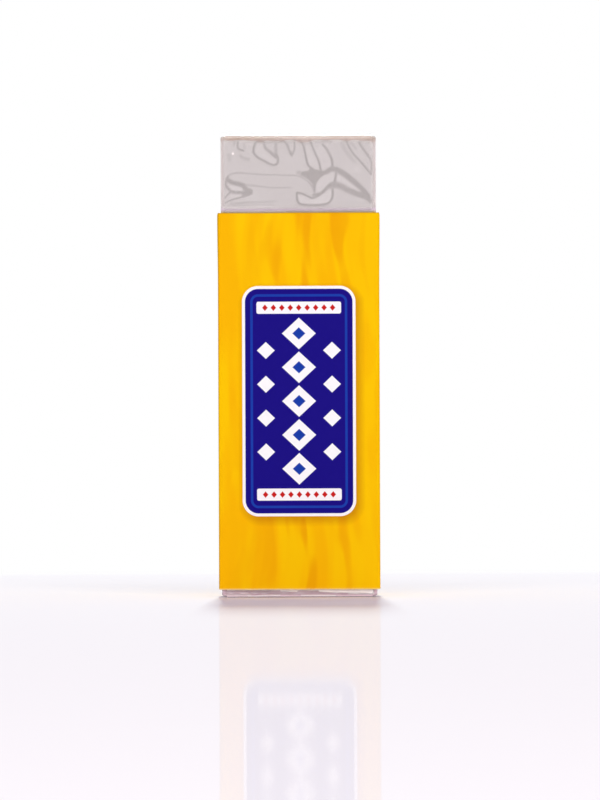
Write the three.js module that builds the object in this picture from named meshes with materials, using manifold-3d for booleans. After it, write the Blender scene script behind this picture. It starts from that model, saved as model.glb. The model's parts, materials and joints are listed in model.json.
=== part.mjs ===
// A block eraser: a bar of grey vinyl rubber, wrapped in one sheet of clear film that is lapped along the
// back and folded over both ends, in a printed card sleeve that slides along it.
// Millimetres, +Z up. The eraser stands on one end, with its front towards -Y. The origin is on the
// standing end, in the middle of the sleeve's outline.
import * as THREE from "three";
import { mergeVertices } from "three/addons/utils/BufferGeometryUtils.js";
import Module from "manifold-3d";

// Rubber block, cut from an extruded bar
const blockWidth = 20;
const blockThickness = 8.5;
const blockLength = 59.4;
const blockEdgeRadius = 0.45; // along the four long edges
const blockEndBevel = 0.2; // around the two cut ends

// Clear film
const filmThickness = 0.05;
const filmGap = 0.05; // air under the film, and between two layers of it
const filmLap = 6; // width of the lengthwise seam on the back
const lapStep = 1.2; // length of the slope that lifts the outer layer of the seam onto the inner one
const foldShortfall = 1.4; // from the free edge of an end fold to the far side of the block
const flapEdgeWidth = 4.8; // free edge of the two long folds, which narrow towards it

// Card sleeve
const cardThickness = 0.3;
const creaseRadius = 0.15; // inside each crease
const sleeveLength = 49;
const sleeveHeight = 1; // from the standing end up to the sleeve's lower edge
const sleeveClearance = 0.1; // between the film and the card
const glueFlapWidth = 12; // on the inside of the back panel
const glueFlapTaper = 2.5; // how much shorter its free edge is than its crease, at each end
const panelSetBack = 0.25; // from the left side's outer face to the cut edge of the back panel

// Glue line between the glue flap and the back panel
const glueThickness = 0.05;
const glueGap = 0.01; // between the glue and the card on each side of it
const glueWidth = 7;
const glueInset = 2; // from the crease to the glue
const glueEndGap = 5; // from each end of the sleeve to the glue

// Straight pieces in each rounded corner
const bendSteps = 5;

// What follows from the sizes above
const layerPitch = filmThickness + filmGap;
const endStack = 3 * layerPitch; // side ear, back fold and front fold, one on the other
const filmHalfWidth = blockWidth / 2 + layerPitch;
const filmHalfDepth = blockThickness / 2 + layerPitch;
const filmBend = blockEdgeRadius + layerPitch; // outer radius at the long edges
const foldReach = 2 * filmHalfDepth - foldShortfall;
const lapBack = filmHalfDepth + layerPitch;

const cardInnerX = filmHalfWidth + sleeveClearance;
const cardInnerFront = -filmHalfDepth - sleeveClearance;
const flapInnerBack = lapBack + sleeveClearance;
const flapOuterBack = flapInnerBack + cardThickness;
const panelInnerBack = flapOuterBack + glueThickness + 2 * glueGap;
const sleeveFront = cardInnerFront - cardThickness;
const sleeveBack = panelInnerBack + cardThickness;
const sleeveTop = sleeveHeight + sleeveLength;

const materials = {
  rubber: new THREE.MeshStandardMaterial({ color: 0xcbc1bf, roughness: 0.62, metalness: 0 }),
  film: new THREE.MeshStandardMaterial({
    color: 0xf4f1f6,
    roughness: 0.08,
    metalness: 0,
    transparent: true,
    opacity: 0.25,
  }),
  card: new THREE.MeshStandardMaterial({ color: 0xfbbf03, roughness: 0.42, metalness: 0 }),
  glue: new THREE.MeshStandardMaterial({ color: 0xefe9d8, roughness: 0.5, metalness: 0 }),
};

const wasm = await Module();
wasm.setup();

function solidOf(geometry) {
  const bare = geometry.clone();
  bare.deleteAttribute("normal");
  bare.deleteAttribute("uv");
  const merged = mergeVertices(bare);
  return new wasm.Manifold(
    new wasm.Mesh({
      numProp: 3,
      vertProperties: merged.attributes.position.array,
      triVerts: new Uint32Array(merged.index.array),
    }),
  );
}

function geometryOf(solid) {
  const mesh = solid.getMesh();
  const geometry = new THREE.BufferGeometry();
  geometry.setAttribute("position", new THREE.BufferAttribute(new Float32Array(mesh.vertProperties), 3));
  geometry.setIndex(new THREE.BufferAttribute(new Uint32Array(mesh.triVerts), 1));
  const flat = geometry.toNonIndexed();
  flat.computeVertexNormals();
  return flat;
}

function named(name, geometry, material) {
  const mesh = new THREE.Mesh(geometry, material);
  mesh.name = name;
  return mesh;
}

// A box between two corners, which may be given in either order.
function boxBetween(x0, x1, y0, y1, z0, z1) {
  const box = new THREE.BoxGeometry(Math.abs(x1 - x0), Math.abs(y1 - y0), Math.abs(z1 - z0));
  return box.translate((x0 + x1) / 2, (y0 + y1) / 2, (z0 + z1) / 2);
}

function point(x, y) {
  return new THREE.Vector2(x, y);
}

function pulledUp(outline, from, to) {
  return new THREE.ExtrudeGeometry(outline, { depth: to - from, bevelEnabled: false }).translate(0, 0, from);
}

// One corner of a line, rounded into short straight pieces.
function roundedCorner(before, corner, after, radius) {
  const back = before.clone().sub(corner).normalize();
  const ahead = after.clone().sub(corner).normalize();
  const half = Math.acos(THREE.MathUtils.clamp(back.dot(ahead), -1, 1)) / 2;
  const reach = radius / Math.tan(half);
  const toCentre = back.clone().add(ahead).setLength(radius / Math.sin(half));
  const from = back.setLength(reach).sub(toCentre);
  const to = ahead.setLength(reach).sub(toCentre);
  const turn = Math.atan2(from.cross(to), from.dot(to));
  const centre = toCentre.add(corner);
  const arc = [];
  for (let step = 0; step <= bendSteps; step++) {
    arc.push(from.clone().rotateAround(point(0, 0), (turn * step) / bendSteps).add(centre));
  }
  return arc;
}

function roundedLine(corners, radius) {
  const last = corners.length - 1;
  const inner = corners.slice(1, last);
  const arcs = inner.map((corner, i) => roundedCorner(corners[i], corner, corners[i + 2], radius));
  return [corners[0], ...arcs.flat(), corners[last]];
}

// The outline of a bent sheet seen from its end: its middle line, thickened to both sides.
function sheetOutline(middle, thickness) {
  const left = [];
  const right = [];
  middle.forEach((here, i) => {
    const into = i > 0 ? here.clone().sub(middle[i - 1]).normalize() : null;
    const out = i < middle.length - 1 ? middle[i + 1].clone().sub(here).normalize() : null;
    const along = point(0, 0).add(into ?? out).add(out ?? into).normalize();
    const offset = thickness / 2 / along.dot(into ?? out);
    const normal = point(-along.y, along.x).multiplyScalar(offset);
    left.push(here.clone().add(normal));
    right.push(here.clone().sub(normal));
  });
  return new THREE.Shape([...left, ...right.reverse()]);
}

// The rubber block has softly rounded long edges and a fine bevel around its cut ends.
function eraserBlock() {
  const radius = blockEdgeRadius - blockEndBevel;
  const x = blockWidth / 2 - blockEndBevel - radius;
  const y = blockThickness / 2 - blockEndBevel - radius;
  const quarter = Math.PI / 2;
  const outline = new THREE.Shape();
  outline.absarc(x, y, radius, 0, quarter);
  outline.absarc(-x, y, radius, quarter, 2 * quarter);
  outline.absarc(-x, -y, radius, 2 * quarter, 3 * quarter);
  outline.absarc(x, -y, radius, 3 * quarter, 4 * quarter);
  const geometry = new THREE.ExtrudeGeometry(outline, {
    depth: blockLength - 2 * blockEndBevel,
    bevelThickness: blockEndBevel,
    bevelSize: blockEndBevel,
    bevelSegments: 2,
    curveSegments: bendSteps,
  });
  geometry.translate(0, 0, endStack + blockEndBevel);
  return named("eraser_block", geometry, materials.rubber);
}

// The film goes once round the block. It starts at the inner edge of the seam on the back, and ends with
// the outer edge of the seam, one layer further out.
function filmTube(bottom, top) {
  const half = filmThickness / 2;
  const x = filmHalfWidth - half;
  const y = filmHalfDepth - half;
  const seam = filmLap / 2;
  const fourCorners = [point(-x, y), point(-x, -y), point(x, -y), point(x, y)];
  const round = roundedLine([point(seam, y), ...fourCorners, point(seam + 2 * lapStep, y)], filmBend - half);
  round.push(point(seam + lapStep, lapBack - half));
  round.push(point(-seam, lapBack - half));
  return solidOf(pulledUp(sheetOutline(round, filmThickness), bottom, top));
}

// A narrow side of the film, folded in flat over the end of the block.
function sideEar(side, level) {
  const edge = side * filmHalfWidth;
  const y = filmHalfDepth - filmBend;
  return solidOf(boxBetween(edge, edge - side * foldReach, -y, y, level, level + filmThickness));
}

// A broad side of the film, folded in over the ears, with the strip of wall that it turns from.
function longFold(side, level) {
  const edge = side * filmHalfDepth;
  const tip = edge - side * foldReach;
  const wide = filmHalfWidth - filmBend;
  const narrow = flapEdgeWidth / 2;
  const top = level + filmThickness;
  const corners = [point(-wide, edge), point(wide, edge), point(narrow, tip), point(-narrow, tip)];
  const flap = solidOf(pulledUp(new THREE.Shape(corners), level, top));
  return flap.add(solidOf(boxBetween(-wide, wide, edge, edge - side * filmThickness, 0, top)));
}

// The folds over an end of the block at height zero, each one layer further out than the one before.
function endFolds() {
  const ears = sideEar(-1, filmGap).add(sideEar(1, filmGap));
  const backFold = longFold(1, filmGap + layerPitch);
  const frontFold = longFold(-1, filmGap + 2 * layerPitch);
  return ears.add(backFold).add(frontFold);
}

// One sheet of film: the tube round the block, and the folds that close it at the top and at the bottom.
function filmWrap() {
  const blockBottom = endStack;
  const blockTop = endStack + blockLength;
  const topFolds = endFolds().translate([0, 0, blockTop]);
  const bottomFolds = endFolds().rotate([0, 180, 0]).translate([0, 0, blockBottom]);
  const film = filmTube(blockBottom - layerPitch, blockTop + layerPitch).add(topFolds).add(bottomFolds);
  return named("film_wrap", geometryOf(film), materials.film);
}

// What is cut off one end of the glue flap, so that its free edge is shorter than its crease.
function glueFlapCorner(crease, freeEdge, end, inward) {
  const slack = cardThickness / 10;
  const outline = new THREE.Shape([
    point(crease, end),
    point(crease, end - inward),
    point(freeEdge + slack, end - inward),
    point(freeEdge + slack, end + inward * glueFlapTaper),
    point(freeEdge, end + inward * glueFlapTaper),
  ]);
  const wedge = new THREE.ExtrudeGeometry(outline, { depth: cardThickness + 2 * slack, bevelEnabled: false });
  wedge.rotateX(Math.PI / 2);
  wedge.translate(0, flapOuterBack + slack, 0);
  return solidOf(wedge);
}

// The card starts at the free edge of the glue flap, goes round the left side, the front and the right
// side, and ends with the back panel, outside the glue flap.
function sleeveCard() {
  const half = cardThickness / 2;
  const x = cardInnerX + half;
  const front = cardInnerFront - half;
  const flap = flapInnerBack + half;
  const panel = panelInnerBack + half;
  const flapEdge = -cardInnerX + glueFlapWidth;
  const panelEdge = -cardInnerX - cardThickness + panelSetBack;
  const fourCreases = [point(-x, flap), point(-x, front), point(x, front), point(x, panel)];
  const strip = [point(flapEdge, flap), ...fourCreases, point(panelEdge, panel)];
  const outline = sheetOutline(roundedLine(strip, creaseRadius + half), cardThickness);
  const card = solidOf(pulledUp(outline, sleeveHeight, sleeveTop));
  const lowerCorner = glueFlapCorner(-cardInnerX, flapEdge, sleeveHeight, 1);
  const upperCorner = glueFlapCorner(-cardInnerX, flapEdge, sleeveTop, -1);
  return named("sleeve", geometryOf(card.subtract(lowerCorner).subtract(upperCorner)), materials.card);
}

// The glue is a thin flat line between the glue flap and the back panel.
function sleeveGlue() {
  const start = -cardInnerX + glueInset;
  const geometry = boxBetween(
    start,
    start + glueWidth,
    flapOuterBack + glueGap,
    panelInnerBack - glueGap,
    sleeveHeight + glueEndGap,
    sleeveTop - glueEndGap,
  );
  return named("sleeve_glue", geometry, materials.glue);
}

const wrappedBlock = new THREE.Group();
wrappedBlock.add(eraserBlock(), filmWrap());

const sleeve = new THREE.Group();
sleeve.add(sleeveCard(), sleeveGlue());

const eraser = new THREE.Group();
eraser.add(wrappedBlock, sleeve);
eraser.position.y = -(sleeveFront + sleeveBack) / 2;

export default eraser;
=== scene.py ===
import json
import math
from functools import partial

import bmesh
import bpy
import numpy as np
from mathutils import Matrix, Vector, noise

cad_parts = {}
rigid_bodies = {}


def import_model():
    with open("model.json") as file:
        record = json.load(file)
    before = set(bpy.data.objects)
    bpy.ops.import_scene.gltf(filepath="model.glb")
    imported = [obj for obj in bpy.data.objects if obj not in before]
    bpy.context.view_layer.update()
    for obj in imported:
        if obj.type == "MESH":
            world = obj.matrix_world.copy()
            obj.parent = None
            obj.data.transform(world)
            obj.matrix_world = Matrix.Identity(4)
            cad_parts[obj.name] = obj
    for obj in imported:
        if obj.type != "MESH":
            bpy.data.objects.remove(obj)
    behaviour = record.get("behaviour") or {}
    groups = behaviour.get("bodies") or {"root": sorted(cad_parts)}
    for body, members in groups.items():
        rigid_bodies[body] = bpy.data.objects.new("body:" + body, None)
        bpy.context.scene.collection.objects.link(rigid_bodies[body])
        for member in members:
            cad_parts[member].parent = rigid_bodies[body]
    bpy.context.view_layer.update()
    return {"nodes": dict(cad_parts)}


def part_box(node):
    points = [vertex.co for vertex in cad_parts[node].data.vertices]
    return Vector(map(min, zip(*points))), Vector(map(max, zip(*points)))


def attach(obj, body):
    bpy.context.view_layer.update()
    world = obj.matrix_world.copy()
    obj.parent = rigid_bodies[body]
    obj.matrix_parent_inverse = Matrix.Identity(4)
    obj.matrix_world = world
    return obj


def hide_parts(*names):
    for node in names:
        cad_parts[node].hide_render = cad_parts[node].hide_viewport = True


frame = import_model()

# Pieces are worked in millimetres, and finishPiece makes metres of them.
mm = 0.001


def hexColour(text):
    # "#C9C0BE" to linear RGBA
    values = []
    for start in (1, 3, 5):
        value = int(text[start:start + 2], 16) / 255
        values.append(value / 12.92 if value <= 0.04045 else ((value + 0.055) / 1.055) ** 2.4)
    return (*values, 1.0)


# What the second word of a node's kind sets, as in "Math ADD"
kindSettings = {
    "Math": "operation", "VectorMath": "operation", "Mix": "data_type", "MapRange": "interpolation_type",
    "Attribute": "attribute_name", "UVMap": "uv_map",
}


def addNode(tree, kind, *values, **settings):
    # Adds a node. Its values go into its inputs in order, or by name where they come in a dictionary. A value
    # is a number or vector, a hex colour, a socket, or a node, which stands for its first output.
    kind, *choice = kind.split()
    node = tree.nodes.new("ShaderNode" + kind)
    for word in choice:
        setattr(node, kindSettings[kind], word)
    for name, setting in settings.items():
        setattr(node, name, setting)
    sockets = [each for each in node.inputs if each.enabled]
    if values and isinstance(values[0], dict):
        sockets = [next(each for each in sockets if each.name == name) for name in values[0]]
        values = values[0].values()
    for socket, value in zip(sockets, values):
        if isinstance(value, bpy.types.Node):
            value = next(each for each in value.outputs if each.enabled)
        if isinstance(value, bpy.types.NodeSocket):
            tree.links.new(value, socket)
        else:
            socket.default_value = hexColour(value) if isinstance(value, str) else value
    return node


def newMaterial(name):
    # An empty material, and the function that adds a node to it
    material = bpy.data.materials.new(name)
    material.use_nodes = True
    material.node_tree.nodes.clear()
    return material, partial(addNode, material.node_tree)


def coverWith(add, colour, height, look):
    # An opaque surface. Its relief has a strength, and a depth in millimetres.
    strength, depth = look["relief"]
    relief = add("Bump", {"Height": height, "Strength": strength, "Distance": depth * mm})
    surface = add("BsdfPrincipled", {"Base Color": colour, "Normal": relief, **look["finish"]})
    add("OutputMaterial", surface)


def selectOnly(piece=None):
    # With no piece, nothing stays selected
    for each in bpy.context.view_layer.objects:
        each.select_set(each == piece)
    if piece:
        bpy.context.view_layer.objects.active = piece


def startBox(name, box):
    # A box in millimetres, of the size of a CAD node, left open in edit mode
    low, high = [corner / mm for corner in box]
    selectOnly()
    bpy.ops.mesh.primitive_cube_add(size=1, location=(low + high) / 2, scale=high - low)
    piece = bpy.context.active_object
    piece.name = name
    bpy.ops.object.transform_apply(location=True, rotation=True, scale=True)
    bpy.ops.object.mode_set(mode="EDIT")
    return piece, low, high


def pick(piece, kind, test):
    # In edit mode: selects the vertices, edges or faces that pass the test. It is given a vertex's or face's
    # place and normal, or an edge's middle and direction.
    bpy.ops.mesh.select_mode(type=kind)
    bpy.ops.mesh.select_all(action="DESELECT")
    mesh = bmesh.from_edit_mesh(piece.data)
    parts = {"VERT": mesh.verts, "EDGE": mesh.edges, "FACE": mesh.faces}[kind]
    for part in parts:
        if kind == "VERT":
            part.select = test(part.co, part.normal)
        elif kind == "EDGE":
            start, end = [vertex.co for vertex in part.verts]
            part.select = test((start + end) / 2, end - start)
        else:
            part.select = test(part.calc_center_median(), part.normal)
    mesh.select_flush_mode()
    bmesh.update_edit_mesh(piece.data)


def cutAcross(axis, places):
    # In edit mode: cuts the whole mesh square to an axis at each place.
    across = Vector((0, 0, 0))
    across[axis] = 1
    for place in places:
        bpy.ops.mesh.select_all(action="SELECT")
        bpy.ops.mesh.bisect(plane_co=across * place, plane_no=across, threshold=0.0001)


def spaced(first, last, step):
    # Evenly spaced values from first to last, no further apart than step
    count = max(1, math.ceil(abs(last - first) / step - 1e-6))
    return [first + (last - first) * index / count for index in range(count + 1)]


def blendIn(value, low, high):
    # 0 below low, 1 above high, smooth between
    share = min(1.0, max(0.0, (value - low) / (high - low)))
    return share * share * (3 - 2 * share)


def addModifier(piece, kind, **settings):
    modifier = piece.modifiers.new(kind.title(), kind)
    for name, value in settings.items():
        setattr(modifier, name, value)
    bpy.ops.object.modifier_apply(modifier=modifier.name)


def finishPiece(piece, body, node, smoothAngle):
    selectOnly(piece)
    bpy.ops.object.shade_smooth_by_angle(angle=math.radians(smoothAngle))
    piece.scale = (mm, mm, mm)
    bpy.ops.object.transform_apply(location=True, rotation=True, scale=True)
    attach(piece, body)
    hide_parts(node)
    print("made", piece.name, len(piece.data.polygons), "faces")


camera = {
    "distance": 1.2, "face": -0.004985, "side": 0.00012, "height": 0.02564,
    "viewHeight": 0.10403, "roll": 0.22, "sensor": 36.0,
}

cameraData = bpy.data.cameras.new("camera")
cameraData.sensor_width = camera["sensor"]
cameraData.lens = camera["sensor"] * camera["distance"] / camera["viewHeight"]
cameraData.clip_start = 0.01
cameraData.clip_end = 20
cameraObject = bpy.data.objects.new("camera", cameraData)
bpy.context.scene.collection.objects.link(cameraObject)
cameraObject.location = (camera["side"], camera["face"] - camera["distance"], camera["height"])
cameraObject.rotation_euler = (math.radians(90), math.radians(camera["roll"]), 0)
bpy.context.scene.camera = cameraObject
bpy.context.scene.view_settings.view_transform = "Standard"

lamps = {
    "back": {"place": (0.0, 2.09, 1.72), "size": (0.14, 1.10), "power": 57.4, "colour": "#ECFFFA"},
    "front": {"place": (0.06, -1.85, 0.90), "size": (1.70, 1.02), "power": 21.4, "colour": "#FCFFFD"},
}
lampTarget = Vector((0, 0, 0.03))

for lampName, lamp in lamps.items():
    lampData = bpy.data.lights.new(lampName, "AREA")
    lampData.shape = "RECTANGLE"
    lampData.size, lampData.size_y = lamp["size"]
    lampData.energy = lamp["power"]
    lampData.color = hexColour(lamp["colour"])[:3]
    lampObject = bpy.data.objects.new(lampName, lampData)
    bpy.context.scene.collection.objects.link(lampObject)
    lampObject.location = lamp["place"]
    lampObject.rotation_euler = (lampTarget - Vector(lamp["place"])).to_track_quat("-Z", "Y").to_euler()
    lampObject.visible_camera = False

# The room is a soft even light. Seen directly or in a shine it is white, and duller behind the camera, where
# the direction of sight, as a share along the y axis, is in the range "behind".
room = {"light": 0.36, "colour": "#FFE5F0", "seenColour": "#FFFFFF", "behind": (-0.95, -0.45, 0.25, 1.0)}

world = bpy.data.worlds.new("room")
bpy.context.scene.world = world
world.use_nodes = True
world.node_tree.nodes.clear()
addToRoom = partial(addNode, world.node_tree)
ray = addToRoom("LightPath").outputs
direction = addToRoom("SeparateXYZ", addToRoom("TexCoord").outputs["Generated"])
shine = addToRoom("MapRange SMOOTHSTEP", direction.outputs["Y"], *room["behind"])
seen = addToRoom("Math MAXIMUM",
                 addToRoom("Math MAXIMUM", ray["Is Camera Ray"], ray["Is Transmission Ray"]),
                 addToRoom("Math MULTIPLY", ray["Is Glossy Ray"], shine))
isSeen = addToRoom("Math GREATER_THAN", seen, 0.01)
strength = addToRoom("Mix FLOAT", isSeen, room["light"], seen)
tint = addToRoom("Mix RGBA", isSeen, room["colour"], room["seenColour"])
addToRoom("OutputWorld", addToRoom("Background", tint, strength))

# The floor lies a hair below the foot, so that no two faces are in one plane.
floorLook = {
    "reach": 3.0, "below": 0.00002, "colour": "#FEFAFF", "speckle": "#D8D2DC", "speckleShare": 0.015,
    "speckleScale": 60.0, "mirror": 0.11, "mirrorRoughness": 0.03, "white": "#FFFFFF",
    "backEdge": (0.139, 0.179), "farOff": (0.7, 1.1),
}


def glossyTable(look):
    # White-lacquered board: pale, with a faint sharp mirror image. It turns to plain white far off.
    material, add = newMaterial("lacqueredBoard")
    place = add("TexCoord").outputs["Object"]
    speckle = add("TexNoise", {"Vector": place, "Scale": look["speckleScale"], "Detail": 3.0})
    share = add("Math MULTIPLY", speckle, look["speckleShare"])
    matt = add("BsdfDiffuse", add("Mix RGBA", share, look["colour"], look["speckle"]))
    gloss = add("BsdfGlossy", {"Color": look["white"], "Roughness": look["mirrorRoughness"]})
    board = add("MixShader", look["mirror"], matt, gloss)
    behind = add("MapRange SMOOTHSTEP", add("SeparateXYZ", place).outputs["Y"], *look["backEdge"])
    away = add("MapRange SMOOTHSTEP", add("VectorMath LENGTH", place), *look["farOff"])
    ray = add("LightPath").outputs
    looking = add("Math MAXIMUM", ray["Is Camera Ray"], ray["Is Glossy Ray"])
    whiteShare = add("Math MULTIPLY", add("Math MAXIMUM", behind, away), looking)
    add("OutputMaterial", add("MixShader", whiteShare, board, add("Emission", look["white"], 1.0)))
    return material


selectOnly()
bpy.ops.mesh.primitive_plane_add(size=2 * floorLook["reach"], location=(0, 0, -floorLook["below"]))
floor = bpy.context.active_object
floor.name = "floor"
floor.data.materials.append(glossyTable(floorLook))
print("camera, lamps and floor are in place")


barLook = {
    "edgeRadius": 0.45, "endRadius": 0.35, "cutStep": 1.5, "unevenness": 0.02, "waveLength": 7.0,
    "endZone": 28.0, "colour": "#D5D0CE", "dust": "#C2BCB9", "pale": "#DDD9D7",
    "blotchesPerMm": 0.16, "blotchRange": (0.35, 0.65, 0.0, 0.35), "speckSize": 0.25,
    "speckRange": (0.10, 0.16, 0.35, 0.0), "skinPerMm": 2.0, "relief": (0.2, 0.02),
    "finish": {"Roughness": 0.55, "IOR": 1.52},
}


def vinylRubber(look):
    # PVC rubber, calendered and cut: a dull grey-white with a soft sheen, faint blotches and fine specks.
    material, add = newMaterial("vinylRubber")
    place = add("TexCoord").outputs["Object"]
    blotches = add("TexNoise", {
        "Vector": place, "Scale": look["blotchesPerMm"] / mm, "Detail": 4.0, "Roughness": 0.55,
    })
    specks = add("TexVoronoi", {"Vector": place, "Scale": 1 / (4 * look["speckSize"] * mm)})
    blotchShare = add("MapRange", blotches, *look["blotchRange"])
    speckShare = add("MapRange", specks.outputs["Distance"], *look["speckRange"])
    colour = add("Mix RGBA", blotchShare, look["colour"], look["pale"])
    colour = add("Mix RGBA", speckShare, colour, look["dust"])
    skin = add("TexNoise", {"Vector": place, "Scale": look["skinPerMm"] / mm, "Detail": 2.0})
    coverWith(add, colour, skin, look)
    return material


def makeBar(look):
    bar, low, high = startBox("rubber_bar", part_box("eraser_block"))
    middle = (low + high) / 2
    pick(bar, "EDGE", lambda place, along: abs(along.z) > 1)
    bpy.ops.mesh.bevel(offset=look["edgeRadius"], segments=6, affect="EDGES")
    pick(bar, "EDGE", lambda place, along: abs(place.z - middle.z) > look["endZone"])
    bpy.ops.mesh.bevel(offset=look["endRadius"], segments=5, affect="EDGES")
    for axis in (2, 0, 1):
        cutAcross(axis, spaced(low[axis] + 1, high[axis] - 1, look["cutStep"]))
    bpy.ops.object.mode_set(mode="OBJECT")
    # the faces of a cut bar are never quite flat: they sink in by up to the unevenness
    for vertex in bar.data.vertices:
        wave = 0.5 + 0.5 * noise.noise(vertex.co / look["waveLength"])
        inward = middle - vertex.co
        inward.z = 0 if abs(inward.z) < look["endZone"] else inward.z
        vertex.co += inward.normalized() * look["unevenness"] * wave
    bar.data.materials.append(vinylRubber(look))
    finishPiece(bar, "wrapped_block", "eraser_block", 35)


makeBar(barLook)


# The middle surface of the film, in millimetres. A zone is where something fades in, and a range also says
# what it is at both ends.
filmLook = {
    "side": 10.075, "front": -4.56, "back": 4.09, "lap": 4.19, "corner": 0.525, "length": 60.0,
    "innerEdge": 3.0, "outerEdge": -3.0, "lapRise": (5.4, 4.2),
    "bottomRow": 0.55, "topRow": 59.45, "thickness": 0.05,
    "fineStep": 0.2, "coarseStep": 1.7, "sideStep": 0.45, "windowBottom": 49.0, "footTop": 1.6,
    "flapDepth": 7.3, "flapEdge": 2.4, "earDepth": 4.6, "puff": 0.10,
    "levels": {"front": 0.025, "back": 0.09, "side": 0.155},
    "folds": {"front": 0.30, "back": 0.25, "side": 0.25},
    "ripple": 0.022, "rippleLength": 2.3, "crumple": 0.06, "crumpleLength": 0.9, "crumpleZone": (0.4, 3.0),
    "footCrumple": 2.2, "topCrumple": 0.4, "pushLimits": (-0.03, 0.06), "footLift": 0.035,
    "standZone": (59.45, 59.8), "standInwards": (0.5, 2.5), "standUneven": 0.35, "topWave": 0.012,
    # painted highlight: the turn and edge shares light the film's turned side edges, more on the right
    "turnZone": (9.50, 9.80), "turnHighlight": 0.6, "edgeZone": (9.75, 10.0), "leftEdge": 0.4, "rightEdgePaintedLight": 0.7,
    # painted light: the foot shares lighten the film at the foot and where it turns under, against the
    # sleeve's shade
    "seamZone": (0.0, 0.6), "footPaintedLight": 0.2, "footZone": (0.5, 0.8), "turnedFoot": (0.18, 0.40),
    "flapHaze": 0.06, "flapEdgeHaze": 0.4, "flapEdgeWidth": 0.35, "cornerHaze": 0.8,
    "rimStart": 59.10, "rimWander": 0.35, "rimFade": 0.5, "tanMost": 0.85, "patchSoft": 0.14,
    # painted light in a band over the sleeve's upper edge and at the foot, and painted shade along that edge
    "paintedLightBand": (50.42, 0.22), "paintedLightFoot": (1.25, 0.25), "edgeShadeBand": (50.02, 0.17),
    "fieldGrain": (0.8, 0.8, 1.0), "stainShift": (0.05, 0.02, 0.03),
    "linesPerMm": 0.19, "lineMiddle": 0.53, "lineRange": (0.004, 0.034, 0.6, 0.0),
    "stainsPerMm": 0.17, "stainRange": (0.54, 0.68, 0.0, 0.65), "airRange": (0.53, 0.62, 0.0, 0.45),
    "hazeAllOver": 0.03,
    "hazeShares": {"rimTan": 0.30, "rimHaze": 0.55, "pressedLine": 0.42, "rubbedLine": 0.36},
    "whitenRange": (1.0, 2.6, 0.0, 0.95), "whiteToneRange": (0.9, 1.3), "dullRange": (0.0, 0.7, 0.05, 0.0),
    "foldShare": 0.185, "tansPerMm": 0.22, "tanRange": (0.45, 0.65), "footBelow": 2.0,
    # Among the colours, the side haze tone also paints light on the turned edges and the foot, the rubbed and
    # foot tones are painted light, the yellow one after them is painted shade along the sleeve's edge, and
    # the whitened one is a painted highlight.
    "haze": "#FBF1EE", "rimHazeAndLightTone": "#FFF3F0", "rimTan": "#D8C3B7", "rimBrown": "#C5AC9B",
    "rubbed": "#F0D9F0", "foot": "#EAC8D6", "paintedHighlight": "#FFF8F6", "fold": "#54443F", "pressed": "#D2AC30",
    "inside": "#E9E4EA", "insideShare": 0.02, "white": "#FFFFFF", "ior": 1.49, "ripplesPerMm": 0.5,
    "relief": (0.25, 0.08), "shineRoughness": 0.06, "glancePower": 5.0, "glancing": 0.35, "facing": 0.025,
}
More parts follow.
